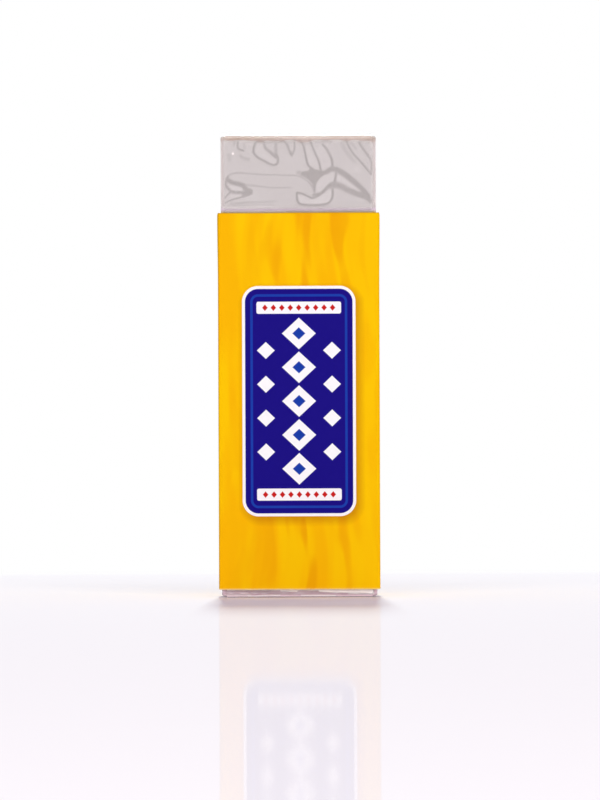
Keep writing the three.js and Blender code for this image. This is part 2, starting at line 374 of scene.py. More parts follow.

# Strokes on the front, where the film clings to the rubber (dark) or stands off it (pale, a negative share).
# A pale share beyond -1 paints a highlight, and a few dark strokes are painted shade.
# Each has its half width at both ends, its share and the places, x and z, that it runs through.
filmStrokes = [
    # hook at the top left, and smudges beside it
    (0.12, 0.16, 1.00, [(-7.75, 59.6), (-7.87, 58.9), (-7.75, 58.35), (-7.15, 58.1)]),
    (0.12, 0.12, 0.50, [(-8.1, 59.7), (-8.25, 59.3), (-8.35, 58.8)]),
    (0.20, 0.28, 0.45, [(-7.5, 57.45), (-7.1, 57.1), (-6.5, 56.95)]),
    (0.20, 0.15, 0.35, [(-7.05, 58.9), (-6.95, 58.4)]),
    (0.35, 0.25, 0.30, [(-9.0, 57.5), (-8.9, 56.9)]),
    # hanging loop and the strokes in it
    (0.17, 0.17, 1.00, [(-4.6, 59.45), (-5.25, 59.4), (-5.65, 58.9), (-5.8, 58.3), (-5.78, 57.85),
                        (-5.45, 57.4), (-5.0, 57.05), (-4.4, 56.75), (-3.8, 56.4), (-3.2, 56.2)]),
    (0.15, 0.20, 0.90, [(-3.2, 56.2), (-2.8, 56.35), (-2.62, 56.75), (-2.7, 57.25), (-2.95, 57.6)]),
    (0.20, 0.22, 0.65, [(-2.9, 59.5), (-2.9, 58.6), (-2.88, 57.7)]),
    (0.16, 0.26, 0.85, [(-4.5, 59.4), (-4.4, 58.8), (-4.15, 58.3), (-3.65, 57.9), (-3.3, 57.6),
                        (-2.95, 57.3)]),
    (0.12, 0.12, 0.60, [(-4.4, 59.5), (-3.6, 59.55), (-2.9, 59.45)]),
    # funnel
    (0.18, 0.12, 0.95, [(-2.25, 59.55), (-1.75, 59.2), (-1.4, 58.8), (-1.2, 58.2), (-1.0, 57.7),
                        (-0.87, 57.4)]),
    (0.13, 0.12, 0.90, [(-0.5, 59.5), (-0.46, 58.6), (-0.55, 58.0), (-0.85, 57.4)]),
    (0.10, 0.22, 0.80, [(-0.9, 58.0), (-0.87, 57.55)]),
    # three hanging threads
    (0.13, 0.17, 1.00, [(0.15, 59.45), (0.5, 59.1), (0.72, 58.6), (0.85, 58.0), (1.0, 57.3), (1.15, 56.6),
                        (1.4, 56.05), (1.8, 55.75)]),
    (0.15, 0.15, 0.95, [(1.5, 59.5), (1.7, 59.0), (2.0, 58.2), (2.35, 57.4), (2.65, 56.8), (2.9, 55.6)]),
    (0.14, 0.18, 1.00, [(3.2, 58.85), (3.6, 58.4), (3.9, 57.9), (4.2, 57.3), (4.4, 56.8), (4.45, 55.9)]),
    (0.10, 0.12, 0.45, [(4.5, 59.45), (4.15, 59.0)]),
    (0.30, 0.20, 0.50, [(0.0, 55.25), (0.7, 55.1)]),
    # soft stains under the rim
    (0.28, 0.22, 0.40, [(-5.2, 59.3), (-3.6, 59.25), (-2.0, 59.35), (-0.4, 59.3)]),
    (0.25, 0.20, 0.35, [(2.2, 59.35), (3.2, 59.25), (4.0, 59.35)]),
    # beak: its back, its underside and the wall between its two lenses
    (0.34, 0.40, 0.95, [(3.7, 55.3), (4.2, 55.6), (4.8, 55.65), (5.4, 55.4), (6.1, 54.95)]),
    (0.40, 0.32, 0.95, [(6.1, 54.95), (7.0, 54.2), (7.6, 53.7), (8.2, 53.15), (8.7, 52.6), (9.1, 52.1),
                        (9.4, 51.45)]),
    (0.46, 0.40, 0.88, [(4.3, 53.5), (5.0, 53.6), (5.7, 53.35), (6.3, 53.0), (6.9, 52.75)]),
    (0.40, 0.36, 0.92, [(6.9, 52.75), (7.6, 52.45), (8.3, 52.2), (8.9, 52.0), (9.3, 51.6)]),
    (0.15, 0.17, 0.95, [(4.95, 55.3), (4.87, 54.7), (4.75, 54.1), (4.6, 53.7)]),
    (0.30, 0.17, 0.95, [(4.6, 53.75), (4.1, 53.55), (3.7, 53.2), (3.3, 52.8), (2.9, 52.5), (1.95, 52.3)]),
    # boat under it
    (0.15, 0.15, 1.00, [(-0.2, 52.6), (0.4, 52.5), (0.9, 52.3), (1.4, 52.05), (1.9, 51.92), (2.9, 52.4)]),
    (0.14, 0.17, 1.00, [(-0.2, 52.6), (-0.2, 52.1), (-0.12, 51.6), (0.1, 51.2)]),
    (0.17, 0.16, 1.00, [(0.1, 51.2), (0.6, 51.05), (1.5, 50.97), (2.5, 50.97), (3.3, 51.05), (3.9, 51.25),
                        (4.3, 51.7), (4.48, 52.3), (4.45, 53.0)]),
    # mouth at the left edge
    (0.14, 0.15, 0.95, [(-9.15, 54.7), (-9.38, 54.2), (-9.43, 53.8), (-9.3, 53.4), (-9.0, 53.1)]),
    (0.30, 0.36, 0.95, [(-9.2, 54.3), (-8.5, 53.95), (-7.7, 53.75), (-7.1, 53.5), (-6.85, 53.1),
                        (-6.4, 52.7)]),
    (0.17, 0.27, 0.95, [(-9.0, 53.1), (-8.7, 52.8), (-8.2, 52.68), (-7.6, 52.65), (-7.0, 52.6),
                        (-6.3, 52.6)]),
    (0.13, 0.10, 0.85, [(-8.8, 52.75), (-9.2, 52.35), (-9.55, 51.95)]),
    (0.16, 0.09, 0.85, [(-6.5, 52.35), (-7.2, 52.15), (-7.8, 51.95), (-8.4, 51.8), (-8.9, 51.6),
                        (-9.5, 51.3)]),
    (0.20, 0.18, 0.80, [(-7.2, 52.6), (-7.05, 52.2)]),
    # long faint lines across
    (0.14, 0.10, 0.60, [(-9.15, 54.6), (-8.95, 54.9), (-8.5, 55.12), (-7.6, 55.2), (-5.0, 55.0),
                        (-0.8, 54.87)]),
    (0.07, 0.10, 0.70, [(-0.8, 54.87), (-0.2, 54.83), (0.4, 54.62), (1.0, 54.25), (1.5, 53.8), (1.85, 53.3),
                        (2.1, 52.6)]),
    (0.14, 0.12, 0.50, [(-6.8, 53.65), (-5.5, 53.5), (-4.5, 53.38), (-3.5, 53.27), (-1.0, 53.25)]),
    (0.17, 0.12, 0.40, [(-8.8, 51.15), (-7.0, 51.35), (-5.0, 51.4), (-3.0, 51.5)]),
    (0.12, 0.10, 0.30, [(-8.5, 50.95), (-5.0, 51.1), (-3.2, 51.05)]),
    # two strokes down the right, and fainter ones beside them
    (0.16, 0.12, 0.95, [(6.15, 59.8), (6.4, 59.0), (6.8, 58.2), (7.3, 57.5), (7.9, 56.85), (8.9, 55.7),
                        (9.4, 55.0)]),
    (0.19, 0.12, 0.90, [(7.95, 59.1), (8.3, 58.5), (8.8, 57.8), (9.15, 57.3), (9.45, 56.8), (9.55, 56.1),
                        (9.45, 54.95)]),
    (0.30, 0.22, 0.35, [(5.7, 59.0), (6.2, 58.0), (6.8, 57.2), (7.3, 56.6)]),
    (0.24, 0.18, 0.35, [(7.0, 59.0), (7.5, 58.3)]),
    (0.20, 0.20, 0.30, [(8.9, 59.1), (9.4, 59.6)]),
    # air at the film's turn on both sides
    (0.28, 0.28, -0.60, [(9.60, 59.5), (9.60, 50.3)]),
    (0.20, 0.20, -0.35, [(-9.70, 59.5), (-9.70, 50.3)]),
    # painted shade: a dark line just above the sleeve's edge, and a painted light line over it
    (0.10, 0.14, 0.60, [(-1.5, 50.2), (2.0, 50.2), (6.0, 50.22), (9.6, 50.2)]),
    (0.10, 0.08, -2.00, [(-10.0, 50.7), (-7.0, 50.67), (-3.6, 50.7)]),
    # at the foot: dark lines across it, then pale strokes that are painted light: white that lifts the foot
    # in the sleeve's shade, and glints
    (0.10, 0.12, 0.40, [(-8.8, 0.72), (-8.0, 0.76), (-7.0, 0.78)]),
    (0.12, 0.22, 1.00, [(-6.8, 0.78), (-5.4, 0.68), (-4.0, 0.60)]),
    (0.22, 0.14, 1.00, [(-4.0, 0.60), (-2.6, 0.58), (-1.2, 0.54)]),
    (0.14, 0.12, 0.65, [(-1.2, 0.54), (0.0, 0.56), (1.7, 0.62)]),
    (0.12, 0.12, 0.70, [(1.4, 0.66), (2.1, 0.72), (2.9, 0.66)]),
    (0.10, 0.12, 0.40, [(3.1, 0.48), (4.5, 0.44), (6.3, 0.42)]),
    (0.14, 0.14, -2.80, [(-9.4, 0.99), (-5.0, 0.99), (-2.4, 0.98)]),
    (0.20, 0.18, -3.20, [(-2.4, 0.94), (-1.3, 0.90), (-0.4, 0.86)]),
    (0.15, 0.15, -3.00, [(-0.4, 0.94), (0.6, 0.97), (2.6, 0.96)]),
    (0.22, 0.30, -3.20, [(2.6, 0.90), (4.0, 0.84), (6.0, 0.80), (8.0, 0.78), (9.3, 0.76)]),
    (0.30, 0.30, -1.15, [(6.4, 0.50), (9.6, 0.45)]),
    (0.22, 0.22, -1.10, [(-9.8, 0.30), (-6.4, 0.30)]),
    (0.16, 0.16, -1.15, [(-9.7, 0.10), (0.0, 0.12), (9.7, 0.10)]),
    (0.06, 0.06, -1.60, [(-6.7, 0.18), (-5.6, 0.20), (-4.2, 0.26), (-2.6, 0.28)]),
    (0.06, 0.06, -1.60, [(0.2, 0.26), (1.8, 0.24), (3.1, 0.22), (4.7, 0.20)]),
]

# Closed patches, in the same way
filmPatches = [
    # where the film clings, between the threads and the beak
    (0.92, [(0.5, 55.35), (1.25, 55.45), (1.6, 55.75), (2.4, 55.6), (3.4, 55.45), (4.2, 55.6), (3.6, 55.1),
           (2.95, 54.6), (2.5, 54.1), (2.3, 53.5), (2.2, 52.7), (2.05, 52.8), (1.85, 53.6), (1.4, 54.2),
           (0.9, 54.6), (0.3, 54.85)]),
    # the beak's filled tip, and the mouth's
    (0.92, [(7.4, 52.8), (8.1, 52.65), (8.6, 52.85), (9.2, 52.3), (9.45, 51.7), (9.2, 51.45),
            (8.6, 51.8), (7.8, 52.1), (7.2, 52.4)]),
    (0.9, [(-7.2, 53.3), (-6.8, 53.15), (-6.2, 53.15), (-5.9, 52.85), (-6.0, 52.4), (-6.6, 52.25),
           (-7.1, 52.1), (-7.35, 52.3), (-7.0, 52.7)]),
    # pale lenses of air, in the beak, the boat, the loop, between the threads and in the mouth
    (-0.5, [(5.1, 54.9), (5.8, 54.6), (6.6, 54.1), (7.4, 53.4), (8.0, 52.85), (7.4, 52.9), (6.6, 53.3),
            (5.9, 53.75), (5.2, 54.1), (5.0, 54.5)]),
    (-0.4, [(2.45, 52.8), (2.5, 53.6), (2.85, 54.35), (3.6, 54.9), (4.3, 55.25), (4.75, 55.2), (4.65, 54.4),
            (4.1, 53.85), (3.55, 53.4), (3.0, 52.8)]),
    (-0.6, [(0.05, 52.3), (0.8, 52.2), (1.9, 51.7), (2.4, 51.85), (3.6, 52.6), (4.2, 53.0), (4.35, 52.6),
            (4.2, 51.9), (3.7, 51.4), (2.8, 51.15), (1.0, 51.2), (0.15, 51.5)]),
    (-0.35, [(-5.55, 58.4), (-5.0, 59.2), (-4.6, 59.0), (-4.45, 58.4), (-3.9, 57.8), (-3.2, 57.3),
             (-2.85, 56.7), (-3.2, 56.4), (-3.9, 56.65), (-5.0, 57.3), (-5.55, 57.8)]),
    (-0.3, [(1.05, 58.6), (1.75, 58.6), (2.5, 56.9), (2.75, 55.9), (2.0, 55.9), (1.4, 56.3), (1.15, 57.4)]),
    (-0.3, [(2.3, 58.2), (3.3, 58.6), (4.2, 57.1), (4.3, 56.2), (3.6, 55.9), (3.05, 56.0)]),
    (-0.35, [(7.3, 55.9), (8.0, 55.9), (8.1, 55.3), (7.4, 55.2)]),
    (-0.7, [(-8.95, 53.5), (-8.0, 53.5), (-7.35, 53.4), (-7.25, 53.0), (-8.0, 52.95), (-8.8, 53.05)]),
    (-0.5, [(-8.9, 52.3), (-8.2, 52.45), (-7.5, 52.4), (-7.35, 52.15), (-8.0, 52.0), (-8.8, 51.95)]),
    # glints
    (-3.0, [(-8.72, 57.70), (-8.5, 57.95), (-8.28, 57.75), (-8.5, 57.48)]),
    (-1.6, [(4.56, 57.85), (4.76, 57.75), (4.78, 57.40), (4.60, 57.42)]),
]


def smoothLine(points, perSpan):
    # Catmull-Rom curve through the points
    points = np.array([points[0], *points, points[-1]], dtype=float)
    line = []
    for index in range(1, len(points) - 2):
        a, b, c, d = points[index - 1:index + 3]
        for step in range(perSpan):
            t = step / perSpan
            line.append(0.5 * (2 * b + (c - a) * t + (2 * a - 5 * b + 4 * c - d) * t ** 2
                               + (3 * b - a - 3 * c + d) * t ** 3))
    line.append(points[-2])
    return np.array(line)


def distanceTo(line, widths, x, z):
    # How far each place is from a line of points, in half widths that change evenly along the line
    nearest = np.full(len(x), 1e9)
    steps = np.linspace(*widths, len(line))
    for (x0, z0), (x1, z1), width0, width1 in zip(line[:-1], line[1:], steps[:-1], steps[1:]):
        span = max((x1 - x0) ** 2 + (z1 - z0) ** 2, 1e-12)
        t = np.clip(((x - x0) * (x1 - x0) + (z - z0) * (z1 - z0)) / span, 0, 1)
        away = np.hypot(x - x0 - t * (x1 - x0), z - z0 - t * (z1 - z0))
        nearest = np.minimum(nearest, away / (width0 + t * (width1 - width0)))
    return nearest


def insideOf(loop, x, z):
    # Even-odd test of each place against a closed line
    inside = np.zeros(len(x), dtype=bool)
    for (x0, z0), (x1, z1) in zip(loop, np.roll(loop, -1, axis=0)):
        crosses = (z0 > z) != (z1 > z)
        rise = z1 - z0 if abs(z1 - z0) > 1e-12 else 1e-12
        inside ^= crosses & (x < x0 + (z - z0) * (x1 - x0) / rise)
    return inside


def drawPockets(film, look):
    # Values at each vertex: fold darkness with a painted shade line, air paleness with painted highlights,
    # where these are drawn and not left to noise, and painted light and shade by the sleeve's edge and at the
    # foot.
    count = len(film.data.vertices)
    places = np.empty(count * 3)
    film.data.vertices.foreach_get("co", places)
    allX, allY, allZ = places.reshape(-1, 3).T
    atTop = (allY < look["front"] + 0.2) & (allZ > look["windowBottom"])
    atFoot = (allY < look["front"] + 0.5) & (allZ < look["footTop"])
    front = atTop | atFoot
    x = allX[front]
    z = allZ[front]
    dark = np.zeros(len(x))
    pale = np.zeros(len(x))
    for startWidth, endWidth, share, points in filmStrokes:
        away = distanceTo(smoothLine(points, 5), (startWidth, endWidth), x, z)
        target = dark if share > 0 else pale
        np.maximum(target, abs(share) * np.exp(-away ** 4), out=target)
    for share, points in filmPatches:
        line = smoothLine([*points, points[0]], 6)
        away = distanceTo(line, (1, 1), x, z)
        signed = np.where(insideOf(line, x, z), away, -away)
        target = dark if share > 0 else pale
        np.maximum(target, abs(share) * np.clip(0.5 + signed / look["patchSoft"], 0, 1), out=target)
    values = {name: np.zeros(count) for name in ("foldLine", "airPocket")}
    values["foldLine"][front] = dark
    values["airPocket"][front] = pale
    values["drawnHere"] = np.maximum(np.clip((allZ - look["windowBottom"] - 0.2) / 0.8, 0, 1) * atTop, atFoot)
    # painted light in a band over the sleeve's edge, and painted shade along that edge
    for name, (height, width) in (("rubbedLine", look["paintedLightBand"]), ("pressedLine", look["edgeShadeBand"])):
        values[name] = np.exp(-((allZ - height) / width) ** 2)
    # the foot is painted light as well
    footTop, footSoft = look["paintedLightFoot"]
    values["rubbedLine"] += np.clip((footTop - allZ) / footSoft, 0, 1)
    for name, each in values.items():
        film.data.attributes.new(name, "FLOAT", "POINT").data.foreach_set("value", each)


def filmOutline(look):
    # Round the bar from the inner edge of the seam to the outer one, as seen from above: x, y per column
    side, front, back, lap, corner = (look[key] for key in ("side", "front", "back", "lap", "corner"))
    outerEdge, wallStep = look["outerEdge"], look["sideStep"]
    riseStart, riseEnd = look["lapRise"]
    points = []

    def straight(x0, y0, x1, y1, step):
        count = max(1, math.ceil(math.hypot(x1 - x0, y1 - y0) / step))
        for index in range(count):
            points.append((x0 + (x1 - x0) * index / count, y0 + (y1 - y0) * index / count))

    def turn(x, y, start):
        for index in range(8):
            angle = math.radians(start + 90 * index / 8)
            points.append((x + corner * math.cos(angle), y + corner * math.sin(angle)))

    straight(look["innerEdge"], back, outerEdge - 0.2, back, wallStep)
    straight(outerEdge - 0.2, back, corner - side, back, wallStep)
    turn(corner - side, back - corner, 90)
    straight(-side, back - corner, -side, front + corner, wallStep)
    turn(corner - side, front + corner, 180)
    straight(corner - side, front, side - corner, front, look["fineStep"])
    turn(side - corner, front + corner, 270)
    straight(side, front + corner, side, back - corner, wallStep)
    turn(side - corner, back - corner, 0)
    straight(side - corner, back, riseStart, back, wallStep)
    straight(riseStart, back, riseEnd, lap, 0.4)
    straight(riseEnd, lap, outerEdge, lap, wallStep)
    points.append((outerEdge, lap))
    return points


def foldOver(look, wall, upward):
    # How a wall's film goes on past its last row: a list of (distance in over the end, height)
    level = look["levels"][wall]
    fold = look["folds"][wall]
    row = look["bottomRow"]
    depth = look["earDepth"] if wall == "side" else look["flapDepth"]
    profile = [(0, row), (0, (row + level + fold) / 2)]
    for index in range(7):
        angle = math.radians(90 * index / 6)
        profile.append((fold * (1 - math.cos(angle)), level + fold * (1 - math.sin(angle))))
    profile += [(inward, level) for inward in spaced(fold, depth, 0.3)[1:]]
    if upward:
        profile = [(inward, look["length"] - height) for inward, height in profile]
    return profile


def filmGrid(look):
    # The whole sheet as one mesh: the tube, then three flaps and four tucked corners at each end
    side, front, back, corner = (look[key] for key in ("side", "front", "back", "corner"))
    outline = filmOutline(look)
    heights = (spaced(look["bottomRow"], 2.0, look["fineStep"])[:-1]
               + spaced(2.0, look["windowBottom"], look["coarseStep"])[:-1]
               + spaced(look["windowBottom"], look["topRow"], look["fineStep"]))
    places = []
    faces = []
    haze = []
    tan = []
    index = {}

    def vertex(key, place, paleness, tanShare):
        if key not in index:
            index[key] = len(places)
            places.append(place)
            haze.append(paleness)
            tan.append(tanShare)
        return index[key]

    def join(previous, line, forward):
        # faces between two rows of vertices, which may end in one point
        for a, b, c, d in zip(previous[:-1], previous[1:], line[1:], line[:-1]):
            around = [a, b, c] if c == d else [a, b, c, d]
            faces.append(around if forward else around[::-1])

    for column, (x, y) in enumerate(outline):
        # painted highlight: haze at the film's turn on both sides, more on the right, lights the turned
        # edges; and tan on an uneven rim
        edgeShare = look["rightEdgePaintedLight"] if x > 0 else look["leftEdge"]
        turnHighlight = look["turnHighlight"] * blendIn(abs(x), *look["turnZone"])
        turnHighlight += edgeShare * blendIn(abs(x), *look["edgeZone"])
        turnHighlight *= 1 - blendIn(min(y - front, back - y) - corner, *look["seamZone"])
        rimStart = look["rimStart"] + look["rimWander"] * noise.noise(Vector((x / 1.3, y / 1.3, 5)))
        for height in heights:
            atSide = turnHighlight * (0.8 + 0.2 * blendIn(height, 1.0, 2.0))
            atTop = look["tanMost"] * blendIn(height, rimStart, rimStart + look["rimFade"])
            # painted light: the lowest part of the walls is made pale against the sleeve's shade
            atFoot = look["footPaintedLight"] * (1 - blendIn(height, *look["footZone"]))
            vertex((column, round(height, 4)), (x, y, height), max(atSide, 0.5 * atTop, atFoot), atTop)
    for column in range(len(outline) - 1):
        for low, high in zip(heights[:-1], heights[1:]):
            faces.append([index[key] for key in (
                (column, round(low, 4)), (column + 1, round(low, 4)),
                (column + 1, round(high, 4)), (column, round(high, 4)))])

    edge = side - corner
    middle = (front + back) / 2
    walls = {"front": [], "back": [], "left": [], "right": []}
    for column, (x, y) in enumerate(outline):
        if y < front + 1e-6:
            walls["front"].append(column)
        elif x < -side + 1e-6:
            walls["left"].append(column)
        elif x > side - 1e-6:
            walls["right"].append(column)
    onBack = [column for column, (x, y) in enumerate(outline) if y > back - 1e-6]
    firstBack = [column for column in onBack
                 if column < walls["left"][0] and outline[column][0] < look["outerEdge"] - 0.1]
    lastBack = [column for column in onBack if column > walls["right"][-1]]
    walls["back"] = lastBack + firstBack
    runs = [firstBack, walls["left"], walls["front"], walls["right"], lastBack]
    corners = [range(before[-1], after[0] + 1) for before, after in zip(runs[:-1], runs[1:])]

    for upward in (True, False):
        row = look["topRow"] if upward else look["bottomRow"]
        for wall, columns in walls.items():
            kind = "side" if wall in ("left", "right") else wall
            inwards = 1 if wall in ("left", "front") else -1
            profile = foldOver(look, kind, upward)
            deepest = profile[-1][0]
            previous = None
            for step, (inward, height) in enumerate(profile):
                line = []
                taper = inward / deepest
                onTurn = step < 6
                for number, column in enumerate(columns):
                    x, y = outline[column]
                    atEdge = (min(number, len(columns) - 1 - number) < 2
                              or deepest - inward < look["flapEdgeWidth"])
                    paleness = 1.0 if onTurn else look["flapEdgeHaze" if atEdge else "flapHaze"]
                    # painted light: the film turned under the foot faces the floor and is painted pale
                    if onTurn and not upward:
                        paleness = 1.0 - 0.8 * blendIn(height, *look["turnedFoot"])
                    if kind == "side":
                        place = (x + inwards * inward, middle + (y - middle) * (1 - 0.06 * taper), height)
                    else:
                        half = edge + (look["flapEdge"] - edge) * taper
                        place = (x / edge * half, y + inwards * inward, height)
                    if step == 0:
                        line.append(index[(column, round(row, 4))])
                    else:
                        tanShare = 1.0 if upward and onTurn else 0.0
                        line.append(vertex((wall, upward, column, step), place, paleness, tanShare))
                if previous:
                    join(previous, line, upward)
                previous = line
        rise = look["bottomRow"] - look["levels"]["side"]
        for number, columns in enumerate(corners):
            centre = (edge if number > 1 else -edge, back - corner if number in (0, 3) else front + corner)
            previous = [index[(column, round(row, 4))] for column in columns]
            for step in range(1, 5):
                angle = math.radians(90 * step / 4)
                height = row + (rise if upward else -rise) * math.sin(angle)
                line = []
                for column in columns:
                    x, y = (about + (place - about) * math.cos(angle)
                            for place, about in zip(outline[column], centre))
                    if step == 4:
                        line.append(vertex(("corner", upward, number), (*centre, height),
                                           look["flapEdgeHaze"], 0.0))
                    else:
                        line.append(vertex(("corner", upward, number, step, column), (x, y, height),
                                           look["cornerHaze"], 1.0 if upward else 0.0))
                join(previous, line, upward)
                previous = line
    return places, faces, haze, tan


def innerFilm(look):
    # The side of the film that lies on the rubber: clear, with the faintest haze.
    material, add = newMaterial("polypropyleneFilmInside")
    haze = add("BsdfPrincipled", {"Base Color": look["inside"], "Roughness": 0.25, "IOR": look["ior"]})
    add("OutputMaterial", add("MixShader", look["insideShare"], add("BsdfTransparent", look["white"]), haze))
    return material


def clearFilm(look):
    # Oriented polypropylene film, stretched and heat-sealed: clear, with a hard shine. Where it clings to the
    # rubber its folds show as dark lines, and where air lies under it the rubber looks paler. Painted
    # highlights, and painted light and shade by the sleeve's edge, at the foot and on the turned sides, go
    # into its veil.
    material, add = newMaterial("polypropyleneFilm")
    place = add("TexCoord").outputs["Object"]
    marks = {name: add("Attribute " + name).outputs["Fac"] for name in (
        "foldLine", "airPocket", "drawnHere", "rimHaze", "rimTan", "rubbedLine", "pressedLine")}
    # away from the drawn parts, soft lines bound pockets of about 5 mm, and wider stains cross them
    field = add("TexNoise", {
        "Vector": add("VectorMath MULTIPLY", place, look["fieldGrain"]),
        "Scale": look["linesPerMm"] / mm, "Detail": 1.0, "Roughness": 0.4, "Distortion": 0.8,
    })
    crossing = add("TexNoise", {
        "Vector": add("VectorMath ADD", place, look["stainShift"]),
        "Scale": look["stainsPerMm"] / mm, "Detail": 1.0, "Roughness": 0.4, "Distortion": 1.2,
    })
    offLine = add("Math ABSOLUTE", add("Math SUBTRACT", field, look["lineMiddle"]))
    softLine = add("MapRange SMOOTHSTEP", offLine, *look["lineRange"])
    stain = add("MapRange SMOOTHSTEP", crossing, *look["stainRange"])
    noiseAir = add("MapRange SMOOTHSTEP", field, *look["airRange"])
    dark = add("Mix FLOAT", marks["drawnHere"], add("Math MAXIMUM", softLine, stain), marks["foldLine"])
    pale = add("Mix FLOAT", marks["drawnHere"], noiseAir, marks["airPocket"])
    # pale share: a little haze all over, more on folded rims, and painted light on the turned sides, at the
    # foot and over the sleeve's edge, with painted shade along that edge
    hazy = look["hazeAllOver"]
    for name, weight in look["hazeShares"].items():
        hazy = add("Math MULTIPLY_ADD", marks[name], weight, hazy, use_clamp=True)
    # painted highlight: a pale stroke past a share of 1 paints the film white, as glints and as light on the
    # foot and over the sleeve's edge
    paleShare = add("Math MAXIMUM", hazy, add("MapRange", pale, *look["whitenRange"]))
    # film in contact dulls the rubber a little, and air under it takes that away
    dulling = add("MapRange", pale, *look["dullRange"])
    darkShare = add("Math MULTIPLY_ADD", dark, look["foldShare"], dulling, use_clamp=True)
    share = add("Math MULTIPLY_ADD", paleShare, add("Math SUBTRACT", 1.0, darkShare), darkShare)
    darkPart = add("Math DIVIDE", darkShare, share, use_clamp=True)
    # the rim's tan is uneven along the edge
    tans = add("TexNoise", {
        "Vector": place, "Scale": look["tansPerMm"] / mm, "Detail": 2.0, "Roughness": 0.6,
    })
    rimTone = add("Mix RGBA", add("MapRange", tans, *look["tanRange"]), look["rimTan"], look["rimBrown"])
    # painted light: lavender in the band over the sleeve's edge, and pink at the foot
    nearFoot = add("Math LESS_THAN", add("SeparateXYZ", place).outputs["Z"], look["footBelow"] * mm)
    paintedLightTone = add("Mix RGBA", nearFoot, look["rubbed"], look["foot"])
    paintedHighlight = add("MapRange", pale, *look["whiteToneRange"])
    # painted shade along the sleeve's upper edge, with the yellow of the card reflected in it
    veil = look["haze"]
    for part, tone in ((marks["rimHaze"], look["rimHazeAndLightTone"]), (marks["rimTan"], rimTone),
                       (marks["rubbedLine"], paintedLightTone), (marks["pressedLine"], look["pressed"]),
                       (paintedHighlight, look["paintedHighlight"]), (darkPart, look["fold"])):
        veil = add("Mix RGBA", part, veil, tone)
    ripples = add("TexNoise", {
        "Vector": place, "Scale": look["ripplesPerMm"] / mm, "Detail": 2.0, "Distortion": 0.6,
    })
    strength, depth = look["relief"]
    bump = add("Bump", {"Height": ripples, "Strength": strength, "Distance": depth * mm})
    haze = add("BsdfPrincipled", {
        "Base Color": veil, "Roughness": 0.22, "IOR": look["ior"], "Normal": bump,
    })
    body = add("MixShader", share, add("BsdfTransparent", look["white"]), haze)
    shine = add("BsdfGlossy", {
        "Color": look["white"], "Roughness": look["shineRoughness"], "Normal": bump,
    })
    # the shine grows at glancing angles, from both sides of the film
    facing = add("LayerWeight", {"Blend": 0.5, "Normal": bump}).outputs["Facing"]
    glancing = add("Math MULTIPLY_ADD", add("Math POWER", facing, look["glancePower"]),
                   look["glancing"], look["facing"], use_clamp=True)
    add("OutputMaterial", add("MixShader", glancing, body, shine))
    return material


def makeFilm(look):
    places, faces, haze, tan = filmGrid(look)
    mesh = bpy.data.meshes.new("film_skin")
    mesh.from_pydata(places, [], faces)
    for name, values in (("rimHaze", haze), ("rimTan", tan)):
        mesh.attributes.new(name, "FLOAT", "POINT").data.foreach_set("value", values)
    film = bpy.data.objects.new("film_skin", mesh)
    bpy.context.scene.collection.objects.link(film)
    selectOnly(film)
    # the parts of the front that show are cut finer for the drawn pockets
    bpy.ops.object.mode_set(mode="EDIT")
    pick(film, "FACE", lambda middle, normal: middle.y < look["front"] + 0.05
         and (look["windowBottom"] + 0.8 < middle.z < look["topRow"] or middle.z < look["footTop"]))
    bpy.ops.mesh.subdivide(number_cuts=1)
    bpy.ops.object.mode_set(mode="OBJECT")
    drawPockets(film, look)
    for vertex in mesh.vertices:
        x, y, z = vertex.co
        nearEnd = min(z, look["length"] - z)
        # ripples along the walls, and crumples near both ends
        wave = noise.noise(Vector((x, y * 2, z)) / look["rippleLength"] + Vector((7, 1, 3)))
        crease = noise.noise(Vector((x, y * 1.5, z * 0.35)) / look["crumpleLength"] + Vector((2, 9, 4)))
        atEnd = look["footCrumple" if z < 5 else "topCrumple"] * (1 - blendIn(nearEnd, *look["crumpleZone"]))
        push = look["ripple"] * wave + look["crumple"] * atEnd * crease
        if nearEnd > look["bottomRow"] - 0.01:
            out = Vector((x if abs(x) > look["side"] - 0.4 else 0, 0, 0))
            out.y = -1 if y < look["front"] + 0.3 else (1 if y > look["back"] - 0.3 else 0)
            if out.length > 0:
                out.x = math.copysign(1, out.x) if out.x else 0
                least, most = look["pushLimits"]
                vertex.co += out.normalized() * min(most, max(least, push))
        elif z < 1:
            vertex.co.z += max(0.0, look["footLift"] * wave)
        else:
            fromOutline = min(look["side"] - abs(x), y - look["front"], look["lap"] - y)
            standing = blendIn(z, *look["standZone"]) * (1 - blendIn(fromOutline, *look["standInwards"]))
            uneven = 1 + look["standUneven"] * noise.noise(Vector((x / 1.7, y / 1.7, 8)))
            vertex.co.z += look["topWave"] * wave + look["puff"] * standing * uneven
    for material in (clearFilm(look), innerFilm(look)):
        film.data.materials.append(material)
    addModifier(film, "SOLIDIFY", thickness=look["thickness"], offset=0, material_offset=1,
                use_even_offset=True)
    finishPiece(film, "wrapped_block", "film_wrap", 60)


makeFilm(filmLook)


sleeveLook = {
    "card": 0.3, "crease": 0.32, "flapWidth": 12.0, "flapTaper": 2.5, "flapStep": 0.37, "setBack": 0.25,
    "cutStep": 1.4, "footCuts": (0.12, 0.26, 0.42, 0.7), "mouthCuts": (0.7, 0.3),
    "bow": 0.05, "bowFullness": 0.7, "flare": 0.07, "flareZone": (0.80, 1.0), "wornCorner": 0.084,
    "cutWander": 0.03, "wanderLength": 3.0, "cutBevel": 0.035,
    "insideGrain": (2.0, 2.0, 0.7), "cutGrain": (1.0, 1.0, 6.0), "inside": "#E9E4DA", "cutEdge": "#F3EFE6",
}

